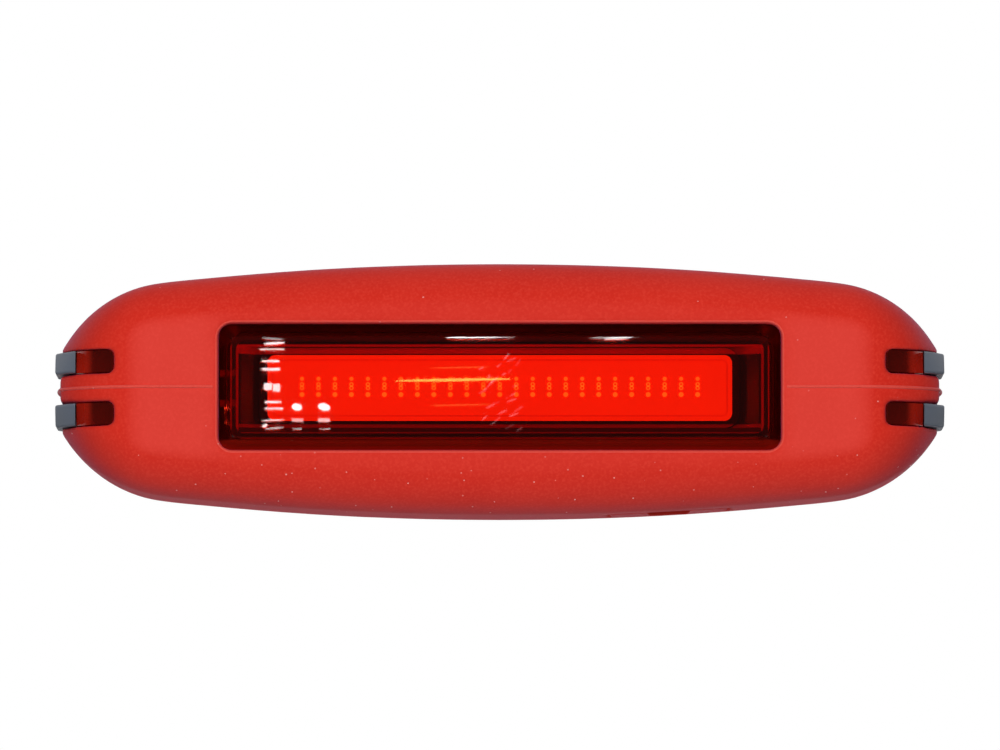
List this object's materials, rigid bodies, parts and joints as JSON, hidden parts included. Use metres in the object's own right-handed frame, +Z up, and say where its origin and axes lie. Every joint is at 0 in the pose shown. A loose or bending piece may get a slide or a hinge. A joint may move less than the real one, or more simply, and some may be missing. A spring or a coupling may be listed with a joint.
{
  "type": "bicycle tail light",
  "caption": "Long rounded bicycle tail light in a soft jacket with a wide light-strip window, side slots, charging flap, rear button and a rubber strap for a seatpost.",
  "frame": {"origin": "on the seatpost's axis, at the middle height of the light", "axes": "+X along the light, -Y towards its lit front, +Z up along the seatpost"},
  "size_m": [0.0892, 0.0516, 0.0252],
  "materials": {
    "red_silicone": "matte moulded silicone",
    "red_lens": "polished transparent polycarbonate",
    "grey_plastic": "fine moulded ABS",
    "black_rubber": "matte moulded rubber",
    "bezel_plastic": "dark gloss",
    "strip_silicone": "smooth dispensed silicone",
    "chips": "clear semiconductor",
    "dam_silicone": "smooth dark red silicone",
    "aluminium_plate": "rolled",
    "tape": "thermal tape",
    "steel": "zinc plated",
    "pouch_foil": "laminated foil",
    "foam": "closed-cell foam",
    "circuit_board": "solder mask",
    "black_epoxy": "moulded epoxy",
    "ferrite": "sintered",
    "capacitor_ceramic": "sintered",
    "clear_plastic": "clear moulded",
    "red_wire": "extruded insulation"
  },
  "bodies": {
    "light": {"silicone_jacket": "red_silicone", "lens_cover": "red_lens", "rear_housing": "grey_plastic", "seal_ring": "black_rubber", "bezel_frame": "bezel_plastic", "cob_phosphor": "strip_silicone", "cob_dam": "dam_silicone", "led_dies": "chips", "cob_board": "aluminium_plate", "thermal_tape": "tape", "heat_plate": "aluminium_plate", "housing_screws": "steel", "battery": "pouch_foil", "battery_foam": "foam", "protection_board": "circuit_board", "battery_leads": "red_wire", "led_leads": "red_wire", "main_board": "circuit_board", "board_screws": "steel", "led_driver": "black_epoxy", "inductor": "ferrite", "capacitors": "capacitor_ceramic", "charge_led": "clear_plastic", "indicator_window": "clear_plastic", "usb_socket": "steel", "button_seal": "black_rubber", "tact_switch": "black_epoxy", "saddle_pad": "black_rubber", "mounting_strap": "black_rubber", "strap_pin": "steel"},
    "power_button": {"power_button": "grey_plastic", "switch_plunger": "black_epoxy"},
    "usb_flap": {"usb_flap": "red_silicone"}
  },
  "joints": [
    {"name": "button_press", "type": "slide", "parent": "light", "child": "power_button", "axis": [0, -1, 0], "range_m": [0, 0.0003], "stiffness_N_per_m": 2000},
    {"name": "flap_hinge", "type": "hinge", "parent": "light", "child": "usb_flap", "pos_m": [0.017, -0.0217, -0.01213], "axis": [1, 0, 0], "range_deg": [0, 110]}
  ]
}
